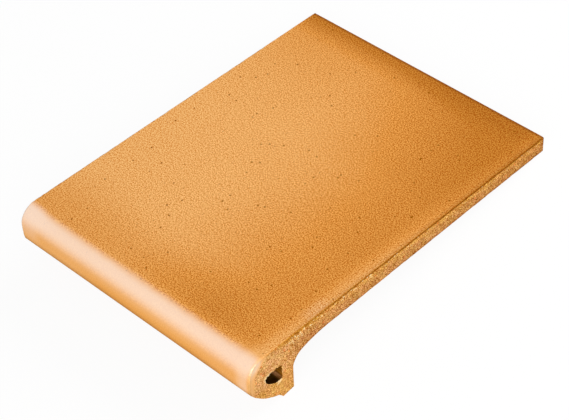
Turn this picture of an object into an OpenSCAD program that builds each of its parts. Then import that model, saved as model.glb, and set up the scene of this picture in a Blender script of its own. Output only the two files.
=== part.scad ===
// Stair tread tile: one piece of extruded, wire-cut and fired clay.
// The same section runs along X from end to end: a flat tread plate, a hollow rounded nosing that
// hangs below it, and a small foot behind the nosing's underside.
// Millimetres. X runs along the nosing, Y from the nosing (-Y) to the back edge (+Y), Z up.
// The section is drawn level, with its own origin at the nosing's front and the walking face's
// height, and the whole tile is then leaned back until the foot and the back edge share the floor.

/* [Tile] */
// Length along the nosing
tile_w = 245; // [150:1:400]
// Depth from the front of the nosing to the back edge
tile_d = 330; // [250:1:400]
// Thickness of the plate at its back edge
back_t = 14.2; // [10:0.1:20]
// Thickness of the plate where the underside runs into the fillet
front_t = 17.1; // [12:0.1:24]

/* [Nosing] */
// Radius of the large rounding at the top of the front
nose_r = 14.5; // [12:0.5:15]
// Height of the upright strip between the two roundings
nose_flat = 11.8; // [8:0.1:12]
// Radius of the small rounding at the foot of the strip
front_r = 5; // [3:0.5:8]
// Radius of the long curve under the nosing
belly_r = 61.5; // [55:0.5:70]
// Depth at which the belly stops and the foot starts
lip_y = 27.4; // [24:0.1:28]
// Depth of the foot's front lower edge
foot_y = 32.2; // [31:0.1:38]
// Drop from the walking face to the foot's front lower edge
foot_drop = 54.7; // [54:0.1:60]
// Depth of the upright wall behind the nosing
wall_y = 43.5; // [40:0.5:50]

/* [Fillet] */
// Radius of the tight part of the fillet, at the wall
fillet_r = 14; // [8:1:18]
// Radius of the easy part of the fillet, under the plate
blend_r = 100; // [60:5:140]

/* [Channel] */
// Radius of the channel's round underside
channel_r = 17.5; // [10:0.5:18]
// Radius of the channel's front corner
channel_tip_r = 4; // [2:0.5:6]
// Radius of the channel's upper back corner
channel_corner_r = 1; // [0.5:0.5:3]
// Depth of the centre of the round underside
channel_y = 30; // [27:0.5:31]
// Drop from the walking face to that centre
channel_drop = 17; // [15:0.5:20]
// Depth of the channel's back wall
channel_back_y = 32; // [28:0.5:33]

/* [Hidden] */
// The arcs meet along directions whose sine and cosine are short decimals, so they join exactly.
c1 = 0.8;
s1 = 0.6;
c2 = 0.28;
s2 = 0.96;
true_circle = 96;

// How far joined shapes run into each other.
overlap = 2;

// Levels of the two roundings' centres, and the belly's centre as [depth, height].
upper_z = -nose_r;
front_z = -nose_r - nose_flat;
belly_c = [front_r + (belly_r - front_r) * c1, front_z + (belly_r - front_r) * s1];

// Foot: where the belly stops, and how much its front face rises for each millimetre forward.
lip_z = belly_c[1] - sqrt(pow(belly_r, 2) - pow(lip_y - belly_c[0], 2));
foot_slope = (foot_drop + lip_z) / (foot_y - lip_y);

// Fillet: wall, tight arc, easy arc, underside.
fillet_z = -front_t - blend_r * (1 - s2) - fillet_r * s2;
fillet_c = [wall_y + fillet_r, fillet_z];
join_p = [wall_y + fillet_r * (1 - c2), fillet_z + fillet_r * s2];
blend_c = [join_p[0] + blend_r * c2, join_p[1] - blend_r * s2];
under_y = blend_c[0];

// Channel: centre of its front corner and the level of its flat top.
tip_c = [channel_y - (channel_r - channel_tip_r) * c1, -channel_drop - (channel_r - channel_tip_r) * s1];
channel_top = tip_c[1] + channel_tip_r;

// Rest: the floor touches the foot's flat underside and the lower back edge.
lean = atan((foot_drop - back_t) / (tile_d - foot_y));
foot_back_z = -foot_drop + (wall_y - foot_y) * tan(lean);
rest_front = front_r * cos(lean) + front_z * sin(lean) - front_r;
rest_back = tile_d * cos(lean);
rest_drop = foot_y * sin(lean) + foot_drop * cos(lean);

// Flat stock: plate, the block behind the nosing, and the foot.
module flat_parts() {
    polygon([
        [nose_r, 0], [nose_r, front_z], [lip_y - overlap, lip_z + overlap * foot_slope],
        [foot_y, -foot_drop], [wall_y, foot_back_z], [wall_y, -front_t],
        [under_y, -front_t], [tile_d, -back_t], [tile_d, 0]
    ]);
    translate([0, front_z]) square([nose_r + overlap, nose_flat]);
}

// Large rounding above the strip and small rounding below it.
module nose_rounds() {
    translate([nose_r, upper_z]) circle(r = nose_r, $fn = true_circle);
    translate([front_r, front_z]) circle(r = front_r, $fn = true_circle);
}

// Long curve under the nosing, from the small rounding to the foot.
module belly() {
    intersection() {
        translate(belly_c) circle(r = belly_r, $fn = 2 * true_circle);
        polygon([
            [front_r, front_z], [belly_c[0] - 1.1 * belly_r * c1, belly_c[1] - 1.1 * belly_r * s1],
            [-10, -80], [lip_y + overlap, -80], [lip_y + overlap, front_z]
        ]);
    }
}

// Fillet between the wall and the plate's underside.
module fillet() {
    difference() {
        polygon([
            [wall_y - overlap, fillet_z], [wall_y, fillet_z], [under_y, -front_t],
            [under_y, -front_t + overlap], [wall_y - overlap, -front_t + overlap]
        ]);
        translate(fillet_c) circle(r = fillet_r, $fn = true_circle);
        intersection() {
            translate(blend_c) circle(r = blend_r, $fn = 2 * true_circle);
            polygon([
                blend_c, [under_y, blend_c[1] + 1.1 * blend_r],
                [blend_c[0] - 1.1 * blend_r * c2, blend_c[1] + 1.1 * blend_r * s2]
            ]);
        }
    }
}

// Channel: round below, flat above, upright at the back.
module channel() {
    intersection() {
        translate([channel_y, -channel_drop]) circle(r = channel_r, $fn = true_circle);
        polygon([
            [tip_c[0], channel_top], tip_c,
            [tip_c[0] - channel_r * c1, tip_c[1] - channel_r * s1], [tip_c[0] - channel_r * c1, -80],
            [channel_back_y, -80], [channel_back_y, channel_top - channel_corner_r],
            [channel_back_y - channel_corner_r, channel_top - channel_corner_r],
            [channel_back_y - channel_corner_r, channel_top]
        ]);
    }
    translate(tip_c) circle(r = channel_tip_r, $fn = true_circle);
    translate([channel_back_y - channel_corner_r, channel_top - channel_corner_r])
        circle(r = channel_corner_r, $fn = true_circle);
}

module section() {
    difference() {
        union() {
            flat_parts();
            nose_rounds();
            belly();
            fillet();
        }
        channel();
    }
}

// The section runs along X. Depth and height are turned upright, then leaned back to rest.
module tread_tile() {
    color([0.80, 0.53, 0.24])
        translate([0, -(rest_front + rest_back) / 2, rest_drop])
        rotate([-lean, 0, 0])
        translate([-tile_w / 2, 0, 0])
        rotate([90, 0, 90])
        linear_extrude(height = tile_w, convexity = 6) section();
}

tread_tile();
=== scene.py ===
# %% [markdown]
# # A stair tread tile of fired clay
# The real tile starts as a stiff clay column pushed through a steel die. The die gives it one
# section from end to end: a flat plate to walk on, a hollow round nosing that hangs over the step,
# and a small foot under the nosing. A wire cuts the column to length, and the kiln does the rest.
# So the model is made in the same order: draw the section, push it out, cut and wear the ends,
# then give the pressed skin, the cut faces and the hollow their own finishes.

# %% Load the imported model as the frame
import math

import bpy
import numpy as np
from mathutils import Matrix, Vector
from mathutils.geometry import delaunay_2d_cdt


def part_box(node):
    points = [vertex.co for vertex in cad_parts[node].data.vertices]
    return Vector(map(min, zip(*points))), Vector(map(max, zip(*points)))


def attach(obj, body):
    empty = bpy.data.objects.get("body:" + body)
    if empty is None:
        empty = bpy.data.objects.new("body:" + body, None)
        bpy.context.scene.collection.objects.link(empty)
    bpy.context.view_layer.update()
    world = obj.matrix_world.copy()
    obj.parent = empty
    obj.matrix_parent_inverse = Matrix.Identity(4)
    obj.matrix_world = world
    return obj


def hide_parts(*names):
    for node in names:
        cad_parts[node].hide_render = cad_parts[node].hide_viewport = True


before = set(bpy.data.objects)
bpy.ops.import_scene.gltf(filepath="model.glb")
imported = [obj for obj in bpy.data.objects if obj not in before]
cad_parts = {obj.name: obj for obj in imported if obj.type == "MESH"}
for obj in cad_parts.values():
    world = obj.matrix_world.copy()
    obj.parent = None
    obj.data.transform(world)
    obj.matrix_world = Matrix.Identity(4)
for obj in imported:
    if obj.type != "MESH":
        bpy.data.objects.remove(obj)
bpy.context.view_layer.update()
low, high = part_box("tread_tile")
print("CAD box in mm:", [round(1000 * (b - a), 1) for a, b in zip(low, high)])

# %% [markdown]
# ## Sizes
# Everything is in metres, with `MM` to keep the numbers readable. The section is drawn level, as
# the drawing of such a tile would be: depth runs back from the nosing's front, and height is
# counted down from the walking face. The tile is leaned back onto the floor only at the end.

# %% Sizes of the tile
MM = 0.001
LENGTH = 245 * MM
DEPTH = 330 * MM
BACK_THICK, FRONT_THICK = 14.2 * MM, 17.1 * MM
NOSE_R, NOSE_FLAT, FRONT_R, BELLY_R = 14.5 * MM, 11.8 * MM, 5 * MM, 61.5 * MM
LIP_DEPTH, FOOT_DEPTH, FOOT_DROP = 27.4 * MM, 32.2 * MM, 54.7 * MM
WALL_DEPTH, FILLET_R, BLEND_R = 43.5 * MM, 14 * MM, 100 * MM
HOLLOW_R, HOLLOW_TIP_R, HOLLOW_CORNER_R = 17.5 * MM, 4 * MM, 1 * MM
HOLLOW_CENTRE, HOLLOW_BACK = (30 * MM, -17 * MM), 32 * MM
EASE_R = 0.45 * MM     # how far handling and firing round off the long arrises
TOP_SKIN = -0.3 * MM   # what is higher on the outline than this belongs to the walking face

LEAN = math.atan((FOOT_DROP - BACK_THICK) / (DEPTH - FOOT_DEPTH))
REST_FRONT = FRONT_R * math.cos(LEAN) - (NOSE_R + NOSE_FLAT) * math.sin(LEAN) - FRONT_R
REST_SHIFT = Vector((0, -(REST_FRONT + DEPTH * math.cos(LEAN)) / 2,
                     FOOT_DEPTH * math.sin(LEAN) + FOOT_DROP * math.cos(LEAN)))
print("leans back", round(math.degrees(LEAN), 2), "degrees to rest on its foot and back edge")

# %% [markdown]
# ## The section's outline
# A die is cut with arcs and straight runs, so the outline is made of the same two things. `arc`
# gives points on a circle and `run` gives points on a line, both at an even spacing. The arcs
# meet where they share a tangent, whose direction is a 3-4-5 or a 7-24-25 triangle, so nothing
# has to be solved. `eased` rounds a corner between two runs, as sharp clay corners never survive.

# %% Arcs, runs and eased corners
SPACING = 1.15 * MM


def arc(centre, radius, start, end, spacing=SPACING):
    """Points along an arc, in degrees, from start up to but not including end."""
    steps = max(2, round(abs(math.radians(end - start)) * radius / spacing))
    turns = [math.radians(start + (end - start) * i / steps) for i in range(steps)]
    return [(centre[0] + radius * math.cos(t), centre[1] + radius * math.sin(t)) for t in turns]


def run(a, b, spacing=SPACING):
    """Points along a straight run, from a up to but not including b."""
    steps = max(1, round(math.dist(a, b) / spacing))
    return [(a[0] + (b[0] - a[0]) * i / steps, a[1] + (b[1] - a[1]) * i / steps) for i in range(steps)]


def eased(corners, radius=EASE_R, spacing=0.35 * MM):
    """A run through corners, with each inner corner rounded. The two ends stay as they are."""
    points, here = [], Vector(corners[0])
    for corner, after in zip(corners[1:-1], corners[2:]):
        corner, after = Vector(corner), Vector(after)
        to_here, to_after = (here - corner).normalized(), (after - corner).normalized()
        half = to_here.angle(to_after) / 2
        reach = radius / math.tan(half)
        centre = corner + (to_here + to_after).normalized() * radius / math.sin(half)
        first, last = corner + to_here * reach, corner + to_after * reach
        a0 = math.degrees(math.atan2(*(first - centre).yx))
        turn = (math.degrees(math.atan2(*(last - centre).yx)) - a0 + 180) % 360 - 180
        points += run(here, first) + arc(centre, radius, a0, a0 + turn, spacing)
        here = last
    return points + run(here, corners[-1])


# %% Outline of the clay and of the hollow
COS_345, SIN_345 = 0.8, 0.6
COS_7_24, SIN_7_24 = 0.28, 0.96
TURN_345 = math.degrees(math.atan2(SIN_345, COS_345))
TURN_7_24 = math.degrees(math.atan2(SIN_7_24, COS_7_24))
upper_centre = (NOSE_R, -NOSE_R)
front_centre = (FRONT_R, -NOSE_R - NOSE_FLAT)
belly_centre = (FRONT_R + COS_345 * (BELLY_R - FRONT_R),
                front_centre[1] + SIN_345 * (BELLY_R - FRONT_R))
foot_back = (WALL_DEPTH, -FOOT_DROP + (WALL_DEPTH - FOOT_DEPTH) * math.tan(LEAN))
fillet_centre = (WALL_DEPTH + FILLET_R,
                 -FRONT_THICK - (1 - SIN_7_24) * BLEND_R - SIN_7_24 * FILLET_R)
blend_centre = (WALL_DEPTH + (1 - COS_7_24) * FILLET_R + COS_7_24 * BLEND_R,
                -FRONT_THICK - BLEND_R)
lip = (LIP_DEPTH, belly_centre[1] - math.sqrt(BELLY_R**2 - (LIP_DEPTH - belly_centre[0])**2))
belly_end = 180 + math.degrees(math.atan2(belly_centre[1] - lip[1], belly_centre[0] - lip[0]))

skin_outline = (
    arc(upper_centre, NOSE_R, 90, 180) + run((0, -NOSE_R), (0, front_centre[1]))
    + arc(front_centre, FRONT_R, 180, 180 + TURN_345)
    + arc(belly_centre, BELLY_R, 180 + TURN_345, belly_end)
    + eased([lip, (FOOT_DEPTH, -FOOT_DROP), foot_back, (WALL_DEPTH, fillet_centre[1])])
    + arc(fillet_centre, FILLET_R, 180, 180 - TURN_7_24)
    + arc(blend_centre, BLEND_R, 180 - TURN_7_24, 90)
    + eased([(blend_centre[0], -FRONT_THICK), (DEPTH, -BACK_THICK), (DEPTH, 0), (NOSE_R, 0)])
)

tip_centre = (HOLLOW_CENTRE[0] - COS_345 * (HOLLOW_R - HOLLOW_TIP_R),
              HOLLOW_CENTRE[1] - SIN_345 * (HOLLOW_R - HOLLOW_TIP_R))
hollow_top = tip_centre[1] + HOLLOW_TIP_R
past_centre = HOLLOW_BACK - HOLLOW_CENTRE[0]
low_corner = (HOLLOW_BACK, HOLLOW_CENTRE[1] - math.sqrt(HOLLOW_R**2 - past_centre**2))
hollow_end = 270 + math.degrees(math.asin(past_centre / HOLLOW_R))
upper_corner = (HOLLOW_BACK - HOLLOW_CORNER_R, hollow_top - HOLLOW_CORNER_R)
hollow_outline = (
    arc(tip_centre, HOLLOW_TIP_R, 90, 180 + TURN_345, 0.7 * MM)
    + arc(HOLLOW_CENTRE, HOLLOW_R, 180 + TURN_345, hollow_end, 0.7 * MM)
    + run(low_corner, (HOLLOW_BACK, upper_corner[1]), 0.7 * MM)
    + arc(upper_corner, HOLLOW_CORNER_R, 0, 90, 0.4 * MM)
    + run((upper_corner[0], hollow_top), (tip_centre[0], hollow_top), 0.7 * MM)
)
print(len(skin_outline), "points round the clay,", len(hollow_outline), "round the hollow")

# %% [markdown]
# ## The section as a sheet
# The cut ends need relief of their own, so the section is not one big face but a fine sheet of
# small triangles: the outline's points, a loose lattice of points inside, and a constrained
# Delaunay triangulation that joins them. Two rings of points follow the outline inside the worn
# width, so that the rounded arris has points to bend on.

# %% Triangulate the section
LATTICE = 0.95 * MM
PLATE_WEAR, NOSE_WEAR, HOLLOW_WEAR = 0.35 * MM, 2.8 * MM, 0.3 * MM
outline = np.array(skin_outline + hollow_outline)
skin_count = len(skin_outline)
loops = [list(range(skin_count)), list(range(skin_count, len(outline)))]
edges = [(loop[i - 1], loop[i]) for loop in loops for i in range(len(loop))]
starts, ends = outline[[a for a, b in edges]], outline[[b for a, b in edges]]


def nearest_on_outline(points):
    """Distance to the outline, and the nearest point on it."""
    along = ends - starts
    share = ((points[:, None] - starts) * along).sum(2) / (along**2).sum(1)
    foot = starts + np.clip(share, 0, 1)[..., None] * along
    gaps = np.linalg.norm(points[:, None] - foot, axis=2)
    best = gaps.argmin(1)
    rows = np.arange(len(points))
    return gaps[rows, best], foot[rows, best]


def in_clay(points):
    """True in the clay: a line drawn from there crosses the outlines an odd number of times."""
    y, z = points[:, :1], points[:, 1:]
    rising = (starts[:, 1] > z) != (ends[:, 1] > z)
    drop = np.where(ends[:, 1] == starts[:, 1], 1, ends[:, 1] - starts[:, 1])
    cross = starts[:, 0] + (z - starts[:, 1]) * (ends[:, 0] - starts[:, 0]) / drop
    return (rising & (y < cross)).sum(1) % 2 == 1


edge_along = (ends - starts) / np.linalg.norm(ends - starts, axis=1)[:, None]
edge_inward = np.stack([-edge_along[:, 1], edge_along[:, 0]], 1)
edge_inward[~in_clay((starts + ends) / 2 + edge_inward * 0.1 * MM)] *= -1
corner_inward = np.zeros_like(outline)
for (a, b), toward in zip(edges, edge_inward):
    corner_inward[a] += toward
    corner_inward[b] += toward
corner_inward /= np.linalg.norm(corner_inward, axis=1)[:, None]


def arris_wear(where):
    """The radius to which the cut arris is worn: most round the nosing's front, slight elsewhere."""
    depth, height = where.T
    upper = (height > TOP_SKIN) | (depth < NOSE_R)
    round_front = np.clip((20 * MM - depth) / (8 * MM), 0, 1)**1.5
    toward_nose = 0.8 * round_front + 0.2 * np.clip((130 * MM - depth) / (110 * MM), 0, 1)
    above_front = np.clip((height + 33 * MM) / (6 * MM), 0, 1)
    of_hollow = np.linalg.norm(where[:, None] - outline, axis=2).argmin(1) >= skin_count
    worn = PLATE_WEAR + (NOSE_WEAR - PLATE_WEAR) * toward_nose * above_front * upper
    return np.where(of_hollow, HOLLOW_WEAR, worn)


rows = np.arange(-FOOT_DROP, 0, LATTICE * math.sqrt(0.75))
lattice = np.array([(y + (i % 2) * LATTICE / 2, z) for i, z in enumerate(rows)
                    for y in np.arange(0, DEPTH, LATTICE)])
lattice = lattice[in_clay(lattice)]
wobble = np.random.default_rng(4)
lattice += wobble.uniform(-0.16, 0.16, lattice.shape) * LATTICE
worn_by = arris_wear(outline)[:, None]
rings = np.vstack([outline + corner_inward * worn_by * share for share in (0.5, 1.0)])
rings = rings[in_clay(rings)]
rings = rings[nearest_on_outline(rings)[0] > 0.2 * MM]
gap_to_ring = np.array([np.linalg.norm(rings - p, axis=1).min() for p in lattice])
lattice = lattice[(nearest_on_outline(lattice)[0] > 0.55 * LATTICE) & (gap_to_ring > 0.5 * LATTICE)]
points = np.vstack([outline, rings, lattice])
flat = delaunay_2d_cdt([Vector(p) for p in points], edges, [], 0, 1e-7)
corners, triangles = np.array([tuple(v) for v in flat[0]]), np.array(flat[2])
triangles = triangles[in_clay(corners[triangles].mean(1))]
print(len(corners), "points and", len(triangles), "triangles in the section sheet")

# %% [markdown]
# ## What each point of the sheet remembers
# `rim` is the distance to the nearest outline, `inward` points from there into the clay, `wear` is
# the radius to which the cut arris is rounded at that place, `hollow` marks what is nearest to the
# hollow, and `top` marks what is nearest to the walking face. The nosing takes the most handling,
# so its cut arris is rounder than the plate's.

# %% Store rim, inward, wear, hollow and top on the sheet
rim, foot = nearest_on_outline(corners)
inward = (corners - foot) / np.maximum(rim, 1e-9)[:, None]
on_outline = rim < 1e-6
nearest_point = np.linalg.norm(corners[:, None] - outline, axis=2).argmin(1)
inward[on_outline] = corner_inward[nearest_point[on_outline]]
rim[on_outline] = 0
hollow = nearest_point >= skin_count
wear = arris_wear(foot)
on_top = foot[:, 1] > TOP_SKIN

sheet = bpy.data.meshes.new("section_sheet")
sheet.from_pydata([(0, y, z) for y, z in corners], [], [tuple(map(int, t)) for t in triangles])
for name, values in (("rim", rim), ("wear", wear), ("hollow", hollow), ("top", on_top)):
    sheet.attributes.new(name, "FLOAT", "POINT").data.foreach_set("value", values.astype(float))
finish_names = ("pressed_skin", "wire_cut_clay", "hollow_clay")
finishes = {name: bpy.data.materials.new(name) for name in finish_names}
for finish in finishes.values():
    sheet.materials.append(finish)
arrows = np.column_stack([np.zeros(len(corners)), inward])
sheet.attributes.new("inward", "FLOAT_VECTOR", "POINT").data.foreach_set("vector", arrows.ravel())
facing = np.mean([p.normal.x for p in sheet.polygons])
print("sheet faces +X:", facing > 0.99, "and is", round(sum(p.area for p in sheet.polygons) * 1e6), "mm2")

# %% [markdown]
# ## A short way to write node trees
# Shaders and Geometry Nodes are both graphs of sockets. Wiring them by hand takes a line for each
# node and one for each link, and hides the formula. `Wire` wraps one output socket, so that
# `1 - mask * 0.3` adds its own Math nodes, and `Graph.add` makes any other node in one call.

# %% Graph and Wire
class Wire:
    """One output socket. Arithmetic on it adds Math nodes to its graph."""

    def __init__(self, graph, socket):
        self.graph, self.socket = graph, socket

    def math(self, operation, *values):
        return self.graph.add("ShaderNodeMath", {"operation": operation}, *values)

    def of(self, operation):
        """A function of this value alone, such as its sine or its size without the sign."""
        return self.math(operation, self)

    def __add__(self, other):
        return self.math("ADD", self, other)

    def __sub__(self, other):
        return self.math("SUBTRACT", self, other)

    def __mul__(self, other):
        return self.math("MULTIPLY", self, other)

    def __truediv__(self, other):
        return self.math("DIVIDE", self, other)

    def __gt__(self, other):
        return self.math("GREATER_THAN", self, other)

    def __lt__(self, other):
        return self.math("LESS_THAN", self, other)

    def __rsub__(self, other):
        return self.math("SUBTRACT", other, self)

    __radd__ = __add__
    __rmul__ = __mul__

    def clamp(self):
        return self.graph.add("ShaderNodeClamp", {}, self)

    def ramp(self, start, end):
        """0 at start, 1 at end and smooth between, whichever of the two is larger."""
        settings = {"interpolation_type": "SMOOTHSTEP"}
        return self.graph.add("ShaderNodeMapRange", settings, self, start, end, 0.0, 1.0)

    def split(self):
        node = self.graph.add("ShaderNodeSeparateXYZ", {}, self).socket.node
        return [Wire(self.graph, out) for out in node.outputs]


class Graph:
    """A node tree that is written as Python."""

    def __init__(self, tree):
        self.tree = tree

    def add(self, kind, settings=None, *values, out=0, **named):
        """A node of that kind, its settings, then its inputs in order or by name. Gives one output."""
        node = self.tree.nodes.new(kind)
        for key, value in (settings or {}).items():
            if key == "stops":
                self.set_stops(node.color_ramp, value)
            else:
                setattr(node, key, value)
        sockets = [s for s in node.inputs if s.enabled]
        pairs = list(zip(sockets, values))
        pairs += [(node.inputs[key.replace("_", " ")], value) for key, value in named.items()]
        for socket, value in pairs:
            if isinstance(value, Wire):
                self.tree.links.new(value.socket, socket)
            elif value is not None:
                socket.default_value = value
        outputs = [s for s in node.outputs if s.enabled]
        chosen = node.outputs[out] if isinstance(out, str) else (outputs[out] if outputs else None)
        return Wire(self, chosen)

    @staticmethod
    def set_stops(ramp, stops):
        while len(ramp.elements) < len(stops):
            ramp.elements.new(0.5)
        for element, (place, colour) in zip(ramp.elements, stops):
            element.position, element.color = place, (*colour, 1)

    def mix(self, factor, a, b, kind="RGBA", blend="MIX"):
        """a where factor is 0 and b where it is 1."""
        node = self.add("ShaderNodeMix", {"data_type": kind, "blend_type": blend}, factor, a, b).socket.node
        return Wire(self, next(s for s in node.outputs if s.enabled))

    def vector(self, operation, *values):
        return self.add("ShaderNodeVectorMath", {"operation": operation}, *values)


print("graph helpers ready")

# %% [markdown]
# ## Pushing the clay out
# Extruding is a rule, so Geometry Nodes do it. The sheet is pushed along X one step at a time in a
# repeat zone, and a flipped copy closes the start. Equal steps would waste points in the middle
# of the tile and starve the ends, where the wear is, so the steps are then spread like a sine:
# fine at both ends and coarse between them.

# %% Tree for the tile: inputs
tree = bpy.data.node_groups.new("pushed_and_cut_clay", "GeometryNodeTree")
INPUTS = {
    "Length": LENGTH, "Steps": 64, "End bow": 0.25 * MM, "Lean": LEAN,
    "Left wear": 0.12, "Low left wear": 0.5, "Cut relief": 0.26 * MM, "Skin relief": 0.08 * MM,
    "Chips": 0.22 * MM, "Hollow chips": 0.5 * MM, "Burr": 1.3 * MM, "Groove": 0.45 * MM,
    "Seed": 3.0,
}
tree.interface.new_socket("Section", in_out="INPUT", socket_type="NodeSocketGeometry")
for name, value in INPUTS.items():
    kind = "NodeSocketInt" if isinstance(value, int) else "NodeSocketFloat"
    tree.interface.new_socket(name, in_out="INPUT", socket_type=kind)
tree.interface.new_socket("Tile", in_out="OUTPUT", socket_type="NodeSocketGeometry")
g = Graph(tree)
group_in = tree.nodes.new("NodeGroupInput")
given = {s.name: Wire(g, s) for s in group_in.outputs if s.name}
print("inputs:", ", ".join(INPUTS))

# %% Push the section out in a repeat zone
zone_in = tree.nodes.new("GeometryNodeRepeatInput")
zone_out = tree.nodes.new("GeometryNodeRepeatOutput")
zone_in.pair_with_output(zone_out)
zone_out.repeat_items.new("BOOLEAN", "Cap")
tree.links.new(given["Steps"].socket, zone_in.inputs["Iterations"])
tree.links.new(given["Section"].socket, zone_in.inputs["Geometry"])
zone_in.inputs["Cap"].default_value = True
one_step = g.add("ShaderNodeCombineXYZ", {}, 1.0, 0.0, 0.0)
pushed = g.add("GeometryNodeExtrudeMesh", {"mode": "FACES"}, Wire(g, zone_in.outputs["Geometry"]),
               Wire(g, zone_in.outputs["Cap"]), one_step, 1.0, False)
tree.links.new(pushed.socket, zone_out.inputs["Geometry"])
tree.links.new(pushed.socket.node.outputs["Top"], zone_out.inputs["Cap"])
start_cap = g.add("GeometryNodeFlipFaces", {}, given["Section"])
joined = tree.nodes.new("GeometryNodeJoinGeometry")
for piece in (start_cap.socket, zone_out.outputs["Geometry"]):
    tree.links.new(piece, joined.inputs[0])
column = g.add("GeometryNodeMergeByDistance", {}, Wire(g, joined.outputs[0]), None, 1e-6)
print("column pushed out in", INPUTS["Steps"], "steps")

# %% Spread the steps like a sine, and mark the cut faces
position = g.add("GeometryNodeInputPosition")
x, y, z = position.split()
share = x / given["Steps"] - 0.5
spread_x = (share * math.pi).of("SINE") * given["Length"] * 0.5
spread = g.add("ShaderNodeCombineXYZ", {}, spread_x, y, z)
column = g.add("GeometryNodeSetPosition", {}, column, None, spread)


def named(attribute, kind="FLOAT"):
    return g.add("GeometryNodeInputNamedAttribute", {"data_type": kind}, attribute)


face_normal = g.add("GeometryNodeInputNormal")
cut_face = face_normal.split()[0].of("ABSOLUTE") > 0.7
column = g.add("GeometryNodeStoreNamedAttribute", {"data_type": "BOOLEAN", "domain": "FACE"},
               column, None, "cut", cut_face)
print("cut faces marked for their own finish")

# %% [markdown]
# ## Wear, wire marks and chips
# A cut arris is a quarter circle: a point on the skin near the end sinks in as it nears the cut,
# and a point on the cut sinks in as it nears the skin, until both meet half way round at 45
# degrees. On top of that come three kinds of relief. Grog grains and torn pits roughen the cut,
# the skin waves by less than a tenth of a millimetre, and small chips bite into the cut arrises.
# All of these sink in, so the tile stays inside the size it was drawn at. Only the burr grows: a
# little clay, dragged by the wire, that hangs into the front of the hollow's mouth. The right end
# also bows by a quarter of a millimetre and has a fine groove under its top arris.

# %% Round the cut arrises
x, y, z = position.split()
at_right = x > 0
rim, inward, of_hollow = named("rim"), named("inward", "FLOAT_VECTOR"), named("hollow")
front_corner = z.ramp(-0.0235, -0.0275) * y.ramp(0.014, 0.008)
left_wear = given["Left wear"] + front_corner * given["Low left wear"]
wear = named("wear") * g.mix(at_right, left_wear, 1.0, "FLOAT")
end_gap = given["Length"] * 0.5 - x.of("ABSOLUTE")
on_cut = end_gap < 1e-6
reach = g.mix(on_cut, end_gap, rim, "FLOAT")
angle = (1 - (reach / wear)).clamp() * (math.pi / 4)
sunk = wear * (1 - angle.of("COSINE"))
drawn_in = (wear * (1 - angle.of("SINE")) - reach) * (reach < wear)
from_end = g.mix(on_cut, drawn_in, sunk, "FLOAT")
from_skin = g.mix(on_cut, sunk, drawn_in, "FLOAT")
print("arris radii in mm: plate", PLATE_WEAR / MM, "nosing", NOSE_WEAR / MM, "hollow", HOLLOW_WEAR / MM)

# %% Relief: grains and pits on the cut, waves on the skin, chips on the arris
GRAIN_SCALE = 520.0
GROOVE_HALF = 0.6 * MM   # half the groove's width
GROOVE_DROP = 0.6 * MM   # how much lower it runs near the nosing than along the plate


def noise(graph, where, scale, detail=2.0, seed=0.0):
    """Noise from 0 to 1 with its middle at 0.5."""
    moved = graph.vector("ADD", where, (seed, 0.37 * seed, -seed))
    return graph.add("ShaderNodeTexNoise", {}, Vector=moved, Scale=scale, Detail=detail)


def grains(graph, where, scale, out="Distance", seed=0.0):
    """Cells of about one grain each: the distance to the grain's middle, or its own colour."""
    moved = graph.vector("ADD", where, (seed, seed, seed))
    return graph.add("ShaderNodeTexVoronoi", {}, Vector=moved, Scale=scale, out=out)


seeded = g.vector("ADD", position, given["Seed"])
lump = 1 - grains(g, seeded, GRAIN_SCALE).clamp()
torn = noise(g, seeded, 300.0, 3.0, 1.7).ramp(0.52, 0.70)
drag = noise(g, g.vector("MULTIPLY", seeded, (1, 0.25, 1)), 210.0, 1.0, 5.1)
cut_depth = given["Cut relief"] * (0.45 * (1 - lump) + 0.8 * torn + 0.35 * drag)
waves = given["Skin relief"] * noise(g, seeded, 34.0, 2.0, 2.3)


def chipped(amount, scale, length, depth):
    """Bites out of an arris: they reach that length along the skin and that depth into the cut."""
    bites = noise(g, seeded, scale, 2.0, 7.7).ramp(0.50, 0.66)
    return amount * bites * g.mix(on_cut, end_gap.ramp(length, 0.0), rim.ramp(depth, 0.0), "FLOAT")


chips = g.mix(of_hollow > 0.5, chipped(given["Chips"], 160.0, 3.2 * MM, 1.6 * MM),
              chipped(given["Hollow chips"], 430.0, 4.0 * MM, 2.4 * MM), "FLOAT")
lumpy = noise(g, seeded, 380.0, 1.0, 3.3).ramp(0.25, 0.55)
dragged = y.ramp(0.0235, 0.0185) * z.ramp(-0.0275, -0.0240) * lumpy
by_mouth = g.mix(on_cut, end_gap.ramp(2.0 * MM, 0.0), rim.ramp(3.0 * MM, 0.0), "FLOAT")
burr = given["Burr"] * dragged * (of_hollow > 0.5) * by_mouth
from_groove = (rim - wear - y.ramp(0.075, 0.050) * GROOVE_DROP) / GROOVE_HALF
groove = given["Groove"] * (1 - from_groove.of("ABSOLUTE")).clamp()
groove = groove * named("top") * y.ramp(0.015, 0.060) * at_right
middle = (y - DEPTH / 2) / (DEPTH / 2)
bow = given["End bow"] * (1 - middle * middle).clamp() * (x / (given["Length"] * 0.5)).clamp()
sideways = x.of("SIGN") * -1
move_x = sideways * (from_end + on_cut * (cut_depth + chips * 0.8 + groove)) - bow
move_in = g.add("ShaderNodeVectorMath", {"operation": "SCALE"}, inward,
                Scale=from_skin + waves + chips - burr)
shift = g.vector("ADD", move_in, g.add("ShaderNodeCombineXYZ", {}, move_x, 0.0, 0.0))
column = g.add("GeometryNodeSetPosition", {}, column, None, None, shift)
print("relief scales in mm: cut", INPUTS["Cut relief"] / MM, "chips", INPUTS["Chips"] / MM)

# %% [markdown]
# ## Leaning it back to rest
# Unheld on a floor the tile tips back until the foot and the lower back edge both touch. The tree
# turns the finished column by that angle, and the result is frozen into a plain mesh, because the
# library keeps meshes and not recipes.

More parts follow.
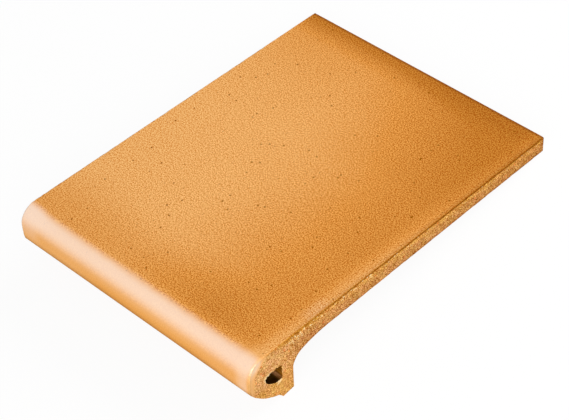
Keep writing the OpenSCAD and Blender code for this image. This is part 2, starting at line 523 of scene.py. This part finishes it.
# %% Lean, finish the tree, and freeze the tile
lean_back = g.add("ShaderNodeCombineXYZ", {}, given["Lean"] * -1, 0.0, 0.0)
rested = g.add("GeometryNodeTransform", {}, column, Translation=tuple(REST_SHIFT), Rotation=lean_back)
smooth = g.add("GeometryNodeSetShadeSmooth", {}, rested)
plain = g.add("GeometryNodeRealizeInstances", {}, smooth)
plain = g.add("GeometryNodeSetMaterial", {}, plain, None, finishes["pressed_skin"])
plain = g.add("GeometryNodeSetMaterial", {}, plain, named("hollow") > 0.5, finishes["hollow_clay"])
plain = g.add("GeometryNodeSetMaterial", {}, plain, named("cut", "BOOLEAN"), finishes["wire_cut_clay"])
group_out = tree.nodes.new("NodeGroupOutput")
tree.links.new(plain.socket, group_out.inputs[0])

maker = bpy.data.objects.new("section", sheet)
bpy.context.scene.collection.objects.link(maker)
push = maker.modifiers.new("push", "NODES")
push.node_group = tree
for item in tree.interface.items_tree:
    if item.in_out == "INPUT" and item.name in INPUTS:
        push[item.identifier] = INPUTS[item.name]
evaluated = maker.evaluated_get(bpy.context.evaluated_depsgraph_get())
tile_mesh = bpy.data.meshes.new_from_object(evaluated)
tile_mesh.name = "fired_tread_tile"
tile = bpy.data.objects.new("fired_tread_tile", tile_mesh)
bpy.context.scene.collection.objects.link(tile)
bpy.data.objects.remove(maker)
spots = np.empty(3 * len(tile_mesh.vertices))
tile_mesh.vertices.foreach_get("co", spots)
spots = spots.reshape(-1, 3)
print(len(tile_mesh.vertices), "points,", sum(len(p.vertices) - 2 for p in tile_mesh.polygons),
      "triangles, box in mm", np.round(np.ptp(spots, axis=0) / MM, 2),
      "lowest", round(spots[:, 2].min() / MM, 3))
print("slots:", [m.name for m in tile_mesh.materials])

# %% [markdown]
# ## Fired clay
# All three finishes are the same clay, so they share a few helpers. Patterns are measured in the
# level tile's own coordinates: one Mapping node undoes the lean, and after it X runs along the
# nosing, Y back from the nosing's front, and Z up from the walking face, all in metres.

# %% Coordinates of the level tile, and a way to start a material
def level_place(graph):
    """Object coordinates turned back to the level tile."""
    place = graph.add("ShaderNodeTexCoord", out="Object")
    level = graph.add("ShaderNodeMapping", {"vector_type": "POINT"}, place)
    unlean = Matrix.Rotation(LEAN, 3, "X")
    level.socket.node.inputs["Rotation"].default_value = (LEAN, 0, 0)
    level.socket.node.inputs["Location"].default_value = -(unlean @ REST_SHIFT)
    return level


def start_material(name, **constants):
    """A graph for that finish, and its Principled shader with some constants set."""
    material = finishes[name]
    material.use_nodes = True
    shader = material.node_tree.nodes["Principled BSDF"]
    for socket, value in constants.items():
        shader.inputs[socket.replace("_", " ")].default_value = value
    return Graph(material.node_tree), shader


def plug(graph, shader, **wires):
    """Links wires to the shader's sockets of the same names."""
    for socket, wire in wires.items():
        graph.tree.links.new(wire.socket, shader.inputs[socket.replace("_", " ")])


def bump(graph, height, strength, distance):
    """Fine relief as a normal. Strength and distance are set by name, as the node has extra inputs."""
    return graph.add("ShaderNodeBump", {}, Strength=strength, Distance=distance, Height=height)


def tinted(graph, colour, factors):
    """The colour times three factors."""
    return graph.mix(1.0, colour, (*factors, 1), blend="MULTIPLY")


print("level coordinates undo", round(math.degrees(LEAN), 2), "degrees")

# %% [markdown]
# ## The pressed skin
# The die presses the skin close, and the fire colours it. Kilns never heat evenly: the back edge
# and the right side of this tile lay nearer the flame and came out browner, and a thin rim along
# the cut end stayed pale. One number, `fired`, says how brown each place is, and a colour ramp
# turns it into clay colours. A few local tints follow: painted shade over the top's last few
# millimetres before the right cut, a painted shade line along that cut's top arris, a pale smear
# behind the nosing by the right end, and a warmer patch low on the middle of the front. Painted
# shade also darkens the back arris and the bottom of the nosing's front. Up close the skin is
# peppered with sand, calmer round the front, and here and there it has an open pit.

# %% Kiln colour and painted edge shade
FIRED_STOPS = [(0.0, (0.850, 0.408, 0.119)), (0.33, (0.72, 0.283, 0.051)),
               (0.66, (0.55, 0.191, 0.023)), (1.0, (0.48, 0.159, 0.017))]


def kiln_colour_and_shade(graph, place):
    """The slow change of colour over the whole tile, with painted shade along some edges."""
    x, y, z = place.split()
    to_back = y.ramp(0.184, 0.36) * 0.33 + y.ramp(0.298, 0.345) * (0.70 - x.ramp(0.095, 0.118) * 0.50)
    to_right = x.ramp(-0.047, 0.125) * (0.45 + y.ramp(0.10, 0.22) * 0.07) * (1 - y.ramp(0.024, 0.004) * 0.9)
    front_band = y.ramp(0.072, 0.021) * y.ramp(0.004, 0.018) * (0.21 - x.ramp(0.055, 0.115) * 0.29)
    pale_rim = x.ramp(0.104, 0.122) * (0.33 - y.ramp(0.11, 0.24) * 0.18 + y.ramp(0.296, 0.318) * 0.16)
    cloud = (noise(graph, place, 11.0, 3.0, 2.0) - 0.5) * 0.16
    fired = (to_back + to_right + front_band - pale_rim + cloud).clamp()
    colour = graph.add("ShaderNodeValToRGB", {"stops": FIRED_STOPS}, fired)
    # Painted shade: the top darkens over its last few millimetres before the right cut.
    cut_edge_shade = x.ramp(0.1180, 0.1200) * y.ramp(0.030, 0.060)
    colour = graph.mix(cut_edge_shade, colour, tinted(graph, colour, (0.89, 0.89, 0.93)))
    # Painted shade: a dark line along the right cut's top arris, on the skin's side.
    at_line = x.ramp(0.1208, 0.1221) * y.ramp(0.024, 0.050)
    at_line = at_line + x.ramp(0.1214, 0.1222) * y.ramp(0.011, 0.018) * 0.6
    at_line = at_line.clamp() * (z > -0.001)
    colour = graph.mix(at_line, colour, tinted(graph, colour, (0.72, 0.60, 0.22)))
    mid_front = (x - 0.015).of("ABSOLUTE").ramp(0.085, 0.045)
    flushed = mid_front * z.ramp(-0.0165, -0.0225) * z.ramp(-0.0285, -0.0265) * y.ramp(0.006, 0.002)
    colour = graph.mix(flushed, colour, tinted(graph, colour, (0.96, 0.89, 0.70)))
    smear = x.ramp(0.1085, 0.1150) * x.ramp(0.1220, 0.1190)
    smear = smear * y.ramp(0.058, 0.069) * y.ramp(0.090, 0.078)
    colour = graph.mix(smear, colour, tinted(graph, colour, (1.00, 1.08, 1.42)))
    low_arris = x.ramp(0.1194, 0.1206) * y.ramp(0.016, 0.008) * z.ramp(-0.0115, -0.0190)
    colour = graph.mix(low_arris, colour, tinted(graph, colour, (0.80, 0.85, 0.92)))
    # Painted shade: the back arris and the bottom of the nosing's front are darkened.
    low_front_shade = (z + x.of("ABSOLUTE").ramp(0.080, 0.115) * 0.0010).ramp(-0.0220, -0.0280)
    back_and_low_shade = (y.ramp(0.3265, 0.3285) + low_front_shade * y.ramp(0.012, 0.006)).clamp()
    return graph.mix(back_and_low_shade, colour, tinted(graph, colour, (0.66, 0.60, 0.56))), fired


# %% Sand, specks and pits
def specks(graph, place, scale, share, size, seed):
    """Small round spots, in that share of the cells of a cell pattern. Size is in cells."""
    middle = grains(graph, place, scale, "Distance", seed)
    chosen = grains(graph, place, scale, "Color", seed).split()[0] < share
    return chosen * middle.ramp(size * 1.2, size * 0.75)


def peppered(graph, place, calm):
    """Sand and pits on the kiln's colour, fainter where calm is 1. Gives the colour and a bump height."""
    colour, fired = kiln_colour_and_shade(graph, place)
    sand = noise(graph, place, 1000.0, 2.0, 0.5)
    pale = ((sand - 0.5) * (3.4 + fired * 3.2) * (1 - calm * 0.8) + 0.56).clamp()
    dark, light = tinted(graph, colour, (0.72, 0.43, 0.04)), tinted(graph, colour, (1.23, 1.50, 1.95))
    colour = graph.mix(pale, dark, light)
    pepper = specks(graph, place, 400.0, 0.40, 0.17, 4.0) * (1 - calm * 0.8)
    colour = graph.mix(pepper * 0.7, colour, tinted(graph, colour, (0.55, 0.38, 0.25)))
    pits = specks(graph, place, 210.0, 0.11, 0.17, 0.9) * (1 - calm * 0.8)
    colour = graph.mix(pits, colour, (0.30, 0.085, 0.000, 1))
    return colour, sand - pits * 2.0


print("skin helpers ready")

# %% [markdown]
# ## The glazed nosing
# Salt and ash settle where the draught of the kiln meets the tile first, so the nosing's upper
# round has a natural glaze and little else does. It is a strongly reflecting, satin coat over the
# clay, and its weight follows the section: it sets in where the face starts to turn down and runs
# out near the bottom of the front. At both ends it reaches further back and trails lower, and it
# weakens over the right arris. The glaze also fills the skin's grain, so it looks smoother there.

# %% Glaze
GLAZE = dict(Coat_Roughness=0.36, Coat_IOR=5.8, Specular_IOR_Level=0.0)


def glaze_weight(graph, place):
    """Near 1 on the nosing's upper round, fading out above and below it and over the right arris."""
    x, y, z = place.split()
    at_ends = x.of("ABSOLUTE").ramp(0.090, 0.122) * 0.0022
    wander = (noise(graph, place, 95.0, 2.0, 7.0) - 0.5) * 0.0020
    upper = (y - at_ends * (0.5 + (x < 0) * 0.7) + wander).ramp(0.0146, 0.0062)
    down_front = z.ramp(-0.0215, -0.0045)
    lower = down_front * down_front
    right_trail = x.ramp(0.104, 0.115) * x.ramp(0.1208, 0.1165) * z.ramp(-0.0310, -0.0240) * 0.48
    left_trail = x.ramp(-0.100, -0.112) * z.ramp(-0.0290, -0.0160) * 0.3
    trail = right_trail + left_trail
    turned = 0.35 + z.ramp(-0.0005, -0.0040) * 0.25
    strongest = 0.9 + x.ramp(-0.080, -0.115) * 0.1 - x.ramp(0.1184, 0.1214) * turned
    return upper * (lower + trail * (1 - lower)) * strongest


# %% Pressed skin
g, skin = start_material("pressed_skin", Roughness=0.7, **GLAZE)
place = level_place(g)
x, y, z = place.split()
glaze = glaze_weight(g, place)
smoothed = glaze + y.ramp(0.0130, 0.0070) + x.ramp(0.095, 0.112) * y.ramp(0.027, 0.014) * 0.8
clay, height = peppered(g, place, smoothed.clamp())
underside = z.ramp(-0.006, -0.011) * y.ramp(0.040, 0.050)
drag_lines = noise(g, g.vector("MULTIPLY", place, (0.03, 1, 1)), 420.0, 3.0, 6.0)
dusty = g.mix(drag_lines, (0.56, 0.27, 0.10, 1), (0.80, 0.46, 0.22, 1))
clay = g.mix(underside * 0.7, clay, dusty)
plug(g, skin, Base_Color=clay, Coat_Weight=glaze,
     Normal=bump(g, height + underside * drag_lines, 0.35, 0.0002))
print("pressed skin done")

# %% [markdown]
# ## The wire-cut clay
# The wire tears grains out of the clay, so the cut shows what it is made of: orange body, cream
# grog, a few rust-red and dark grains, each under a millimetre. A cell pattern gives each grain
# one tone, slower noises drift the body in patches, and here and there is a torn hole or a rust
# speck. At the right end the arris round the nosing's front is scuffed smooth and pale over some
# six millimetres, with hardly any glaze. Its paleness grows with the nosing's glaze, so it is
# partly a painted highlight that carries the glaze's highlight round the arris. Behind it the
# wire left a fine groove under the top arris. A line of painted shade runs in it, fainter and
# broken near the nosing, and cream flakes show just below. Painted shade also darkens the end
# towards its lower and back rims and low down under the plate, most just behind the foot. A few
# pale crumbs cling to the hollow's mouth.

# %% Colour of the cut
# Rust-red, cream and dark grains: each takes the cells whose random number is above its share.
RARE_GRAINS = ((0.93, (0.78, 0.26, 0.10, 1)), (0.955, (0.95, 0.66, 0.26, 1)),
               (0.985, (0.22, 0.09, 0.02, 1)))


def cut_colour(graph, place):
    """Grains of the torn clay. Gives the colour and a height for the bump."""
    x, y, z = place.split()
    tone, kind = grains(graph, place, 1800.0, "Color", 0.3).split()[:2]
    fine = noise(graph, place, 2400.0, 1.0, 3.0)
    shade = ((tone - 0.5) * 2.0 + (fine - 0.5) * 3.0 + 0.45).clamp()
    by_foot = z.ramp(-0.026, -0.034) * y.ramp(0.022, 0.034)
    by_nose = y.ramp(0.038, 0.026)
    shade = graph.mix(by_foot * 0.35 + by_nose * 0.2, shade, 0.48, "FLOAT")
    body = graph.mix(noise(graph, place, 210.0, 1.0, 8.0).ramp(0.35, 0.65),
                     (0.700, 0.300, 0.069, 1), (0.682, 0.316, 0.061, 1))
    body = graph.mix(y.ramp(0.028, 0.062), body, tinted(graph, body, (0.865, 0.80, 0.64)))
    body = graph.mix(y.ramp(0.10, 0.30), body, tinted(graph, body, (0.95, 0.91, 0.82)))
    patch = noise(graph, place, 130.0, 2.0, 6.0).ramp(0.30, 0.70)
    for tone_of, dark, light in (
        (patch, (0.92, 0.89, 0.80), (1.08, 1.12, 1.22)),
        (shade, (0.53, 0.32, 0.00), (1.56, 1.98, 3.70)),
    ):
        body = graph.mix(tone_of, tinted(graph, body, dark), tinted(graph, body, light))
    for share, colour in RARE_GRAINS:
        body = graph.mix((kind > share) * 0.8, body, colour)
    holes = specks(graph, place, 330.0, 0.55, 0.19, 5.1)
    body = graph.mix(holes * (0.65 + by_nose * 0.3), body, (0.33, 0.135, 0.022, 1))
    rust = specks(graph, place, 230.0, 0.07, 0.24, 2.2)
    body = graph.mix(rust * 0.5, body, (0.95, 0.24, 0.055, 1))
    body = graph.mix(by_foot, body, tinted(graph, body, (0.98, 0.97, 0.76)))
    body = graph.mix(by_nose, body, tinted(graph, body, (0.99, 1.03, 1.06)))
    under_hollow = z.ramp(-0.028, -0.036) * y.ramp(0.034, 0.026)
    body = graph.mix(under_hollow, body, tinted(graph, body, (0.99, 0.96, 0.72)))
    return body, shade + fine * 0.5


# %% Wire-cut clay
g, cut = start_material("wire_cut_clay", Roughness=0.85, **GLAZE)
place = level_place(g)
x, y, z = place.split()


def remembered(attribute):
    """A value that the section sheet stored, read in a shader."""
    return g.add("ShaderNodeAttribute", {"attribute_name": attribute}, out="Fac")


rim, on_top = remembered("rim"), remembered("top")
wear = remembered("wear") * g.mix(x > 0, INPUTS["Left wear"], 1.0, "FLOAT")
grainy, height = cut_colour(g, place)
skin_tone = peppered(g, place, 0.6)[0]
chalky = rim.ramp(0.0090, 0.0020) * on_top * y.ramp(0.040, 0.080)
grainy = g.mix(chalky, grainy, tinted(g, grainy, (1.14, 1.17, 1.02)))
above = y.ramp(0.0235, 0.0205) * z.ramp(-0.0275, -0.0245) * rim.ramp(0.0024, 0.0010)
below = y.ramp(0.0250, 0.0275) * y.ramp(0.0325, 0.0305) * z.ramp(-0.0320, -0.0335)
below = below * rim.ramp(0.0050, 0.0020)
crumbs = noise(g, place, 520.0, 1.0, 2.0).ramp(0.42, 0.52) * (above + below)
along_plate = rim.ramp(0.0070, 0.0025) * y.ramp(0.030, 0.060) * (0.45 + y.ramp(0.210, 0.130) * 0.55)
over_hollow = y.ramp(0.020, 0.034) * y.ramp(0.072, 0.054) * z.ramp(-0.024, -0.014) * 0.6
near_top = along_plate + over_hollow
grainy = g.mix(remembered("hollow") * crumbs * 0.85, grainy, (1.0, 0.74, 0.40, 1))
ragged = (noise(g, place, 500.0, 2.0, 9.0) - 0.5) * 0.9
wide = 1.1 + y.ramp(0.020, 0.008) * z.ramp(-0.026, -0.006) * 1.05
rolled = ((rim / (wear * wide)) + ragged * 0.6).ramp(1.12, 0.92) * wear.ramp(0.0005, 0.0010)
clay = g.mix(rolled, grainy, skin_tone)
beside_arris = g.add("ShaderNodeCombineXYZ", {}, x - rim, y * 0.06, z * 0.06)
along = noise(g, beside_arris, 800.0, 1.0, 5.0).ramp(0.35, 0.65)
glaze = glaze_weight(g, place)
# Partly painted highlight: the scuffed arris is paler where the nosing's glaze is strong.
highlight_share = (glaze * 3.5).clamp()
scuff_and_highlight = g.mix(highlight_share * (0.4 + highlight_share * 0.6), (0.82, 0.405, 0.140, 1), (0.86, 0.56, 0.33, 1))
scuff_and_highlight = g.mix(rim.ramp(0.0034, 0.0016), scuff_and_highlight, tinted(g, scuff_and_highlight, (0.84, 0.90, 1.00)))
at_front = y.ramp(0.022, 0.012)
clay = g.mix(rolled * at_front * (0.6 + along * 0.4), clay, scuff_and_highlight)
past_line = rim - wear - y.ramp(0.075, 0.050) * GROOVE_DROP
gaps = noise(g, place, 170.0, 1.0, 4.0).ramp(0.36, 0.52) * 0.6 + 0.4
broken = g.mix(y.ramp(0.035, 0.085), gaps, 1.0, "FLOAT")
# Painted shade: a dark line in the groove under the top arris, fainter and broken near the nosing.
groove_shade_strength = 0.30 + y.ramp(0.034, 0.050) * 0.16
groove_shade_strength = groove_shade_strength + y.ramp(0.060, 0.075) * 0.16 + y.ramp(0.060, 0.160) * 0.22
groove_shade = past_line.ramp(0.0017, 0.0007) * y.ramp(0.0125, 0.0190) * on_top
groove_shade = groove_shade * groove_shade_strength * broken * (x > 0)
yellowed = past_line.ramp(0.0034, 0.0008) * on_top * y.ramp(0.016, 0.040)
yellowed = yellowed * (1 - y.ramp(0.060, 0.080) * 0.45)
clay = g.mix(yellowed * (x > 0), clay, tinted(g, clay, (1.0, 0.93, 0.48)))
clay = g.mix(groove_shade, clay, (0.22, 0.055, 0.000, 1))
flakes = specks(g, place, 400.0, 0.60, 0.38, 6.3) * on_top * near_top
flakes = flakes * past_line.ramp(0.0004, 0.0012)
clay = g.mix(flakes.clamp() * 0.9, clay, (1.0, 0.74, 0.38, 1))
# Painted shade: the cut end darkens towards its lower and back rims and low down under the plate.
end_low_shade = rim.ramp(0.0028, 0.0004) * (1 - on_top) * y.ramp(0.040, 0.060)
end_low_shade = (end_low_shade + z.ramp(-0.0050, -0.0120) * y.ramp(0.040, 0.055) * (0.22 + y.ramp(0.085, 0.060) * 0.40)).clamp()
clay = g.mix(end_low_shade * 0.8, clay, tinted(g, clay, (0.70, 0.58, 0.58)))
plug(g, cut, Base_Color=clay, Coat_Weight=rolled * glaze * 0.1,
     Normal=bump(g, height * (1 - rolled), 0.5, 0.0003))
print("wire-cut clay done")

# %% [markdown]
# ## The hollow
# Nobody finishes the hollow. The core of the die drags along it and leaves long streaks on its
# brown back wall, whose dark brown is partly painted shade. One paler streak low down near the
# right mouth is painted light. Painted shade darkens the round bottom, most at the front tip, far
# inside and just by the mouth.

# %% Hollow
g, inside = start_material("hollow_clay", Roughness=0.9, Specular_IOR_Level=0.0)
place = level_place(g)
x, y, z = place.split()
streaks = noise(g, g.vector("MULTIPLY", place, (0.05, 1, 1)), 300.0, 3.0, 4.4).ramp(0.36, 0.64)
# The streaks' dark brown is partly painted shade of the hollow.
clay = g.mix(streaks, (0.13, 0.038, 0.001, 1), (0.34, 0.135, 0.012, 1))
# Painted light: a paler streak low on the back wall near the right mouth.
painted_lit_streak = z.ramp(-0.0322, -0.0340) * y.ramp(0.0290, 0.0306) * x.ramp(0.103, 0.113)
painted_lit_streak = painted_lit_streak * (0.25 + x.ramp(0.1215, 0.1150) * 0.75)
clay = g.mix(painted_lit_streak * 0.8, clay, (0.54, 0.26, 0.10, 1))
# Painted shade: the round bottom in front of the back wall is darkened.
bottom_shade = y.ramp(0.0304, 0.0282) * (0.95 - streaks * 0.06)
clay = g.mix(bottom_shade, clay, (0.080, 0.040, 0.004, 1))
# Painted shade: darkest at the front tip, far inside and just by the mouth.
at_tip, far_inside = y.ramp(0.0235, 0.0175), x.ramp(0.112, 0.05) * 0.5
just_by_mouth = x.ramp(0.1150, 0.1200) * y.ramp(0.0300, 0.0275)
deepest_shade = (at_tip + far_inside + just_by_mouth).clamp()
clay = g.mix(deepest_shade * 0.85, clay, (0.018, 0.004, 0.001, 1))
plug(g, inside, Base_Color=clay, Normal=bump(g, streaks, 0.4, 0.0003))
print("hollow done")

# %% Hand the tile to the frame
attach(tile, "root")
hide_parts("tread_tile")
print("the tile rides on root and stands for the CAD solid")

# %% [markdown]
# ## Floor, light and camera
# A pale floor, two big soft lamps and a plain pale world. The lamp in front lights the nosing and
# the cut end, and the one behind lights the walking face. The glaze mirrors the pale world, and
# that draws the long highlight on the nosing.

# %% Floor
def seen_directly(graph):
    """1 for rays from the camera, from a glossy surface or through a clear one, 0 for the rest."""
    rays = graph.add("ShaderNodeLightPath", out="Is Camera Ray").socket.node
    seen = Wire(graph, rays.outputs["Is Camera Ray"]) + Wire(graph, rays.outputs["Is Glossy Ray"])
    return (seen + Wire(graph, rays.outputs["Is Transmission Ray"])).clamp()


FLOOR_HALF = 4
floor_mesh = bpy.data.meshes.new("floor")
floor_corners = [(FLOOR_HALF * a, FLOOR_HALF * b, 0) for a, b in ((-1, -1), (1, -1), (1, 1), (-1, 1))]
floor_mesh.from_pydata(floor_corners, [], [(0, 1, 2, 3)])
floor = bpy.data.objects.new("floor", floor_mesh)
bpy.context.scene.collection.objects.link(floor)
paper = bpy.data.materials.new("pale_floor")
paper.use_nodes = True
g = Graph(paper.node_tree)
paper_shader = paper.node_tree.nodes["Principled BSDF"]
paper_shader.inputs["Roughness"].default_value = 1.0
paper_shader.inputs["Specular IOR Level"].default_value = 0.0
seen = seen_directly(g)
paper_tone = g.mix(seen, (0.55, 0.55, 0.55, 1), (0.97, 0.97, 0.97, 1))
g.tree.links.new(paper_tone.socket, paper_shader.inputs["Base Color"])
white = g.add("ShaderNodeEmission", {}, (1, 1, 1, 1), 1.0)
sheet_of_paper = g.add("ShaderNodeMixShader", {}, seen * 0.92, Wire(g, paper_shader.outputs[0]), white)
g.tree.links.new(sheet_of_paper.socket, g.tree.nodes["Material Output"].inputs["Surface"])
floor_mesh.materials.append(paper)
print("floor in place")

# %% World
world = bpy.data.worlds.new("studio")
bpy.context.scene.world = world
world.use_nodes = True
g = Graph(world.node_tree)
ambient = world.node_tree.nodes["Background"]
ambient.inputs["Color"].default_value = (1, 1, 1, 1)
ambient.inputs["Strength"].default_value = 0.33
backdrop = g.add("ShaderNodeBackground", {}, (1, 1, 1, 1), 1.0)
both = g.add("ShaderNodeMixShader", {}, seen_directly(g), Wire(g, ambient.outputs[0]), backdrop)
g.tree.links.new(both.socket, g.tree.nodes["World Output"].inputs["Surface"])
print("world in place")

# %% Lamps
def soft_lamp(name, direction, distance, width, height, power, target=(0, 0, 0.03)):
    """A rectangular area lamp that looks at the tile from the given direction."""
    lamp = bpy.data.lights.new(name, "AREA")
    lamp.shape, lamp.size, lamp.size_y, lamp.energy = "RECTANGLE", width, height, power
    holder = bpy.data.objects.new(name, lamp)
    toward = Vector(direction).normalized()
    holder.location = Vector(target) + toward * distance
    holder.rotation_euler = toward.to_track_quat("Z", "Y").to_euler()
    bpy.context.scene.collection.objects.link(holder)
    return holder


def from_angles(turn, height):
    """A direction from its angle in plan, counted from +X towards +Y, and its angle above the floor."""
    turn, height = math.radians(turn), math.radians(height)
    return math.cos(turn) * math.cos(height), math.sin(turn) * math.cos(height), math.sin(height)


soft_lamp("front_lamp", from_angles(-48, 24), distance=2.2, width=3.0, height=2.0, power=55)
soft_lamp("back_lamp", from_angles(78, 29), distance=2.2, width=1.6, height=1.6, power=38.5)
print("two lamps")

# %% Camera
eye = bpy.data.cameras.new("camera")
eye.sensor_width, eye.lens = 36.0, 121.36
eye.clip_start, eye.clip_end = 0.05, 50
camera = bpy.data.objects.new("camera", eye)
camera.location = (0.7861, -0.63594, 1.11555)
camera.rotation_euler = [math.radians(a) for a in (41.578, 7.247, 43.197)]
bpy.context.scene.collection.objects.link(camera)
bpy.context.scene.camera = camera
bpy.context.scene.view_settings.view_transform = "Standard"
print("camera", round(camera.location.length, 3), "m from the origin")
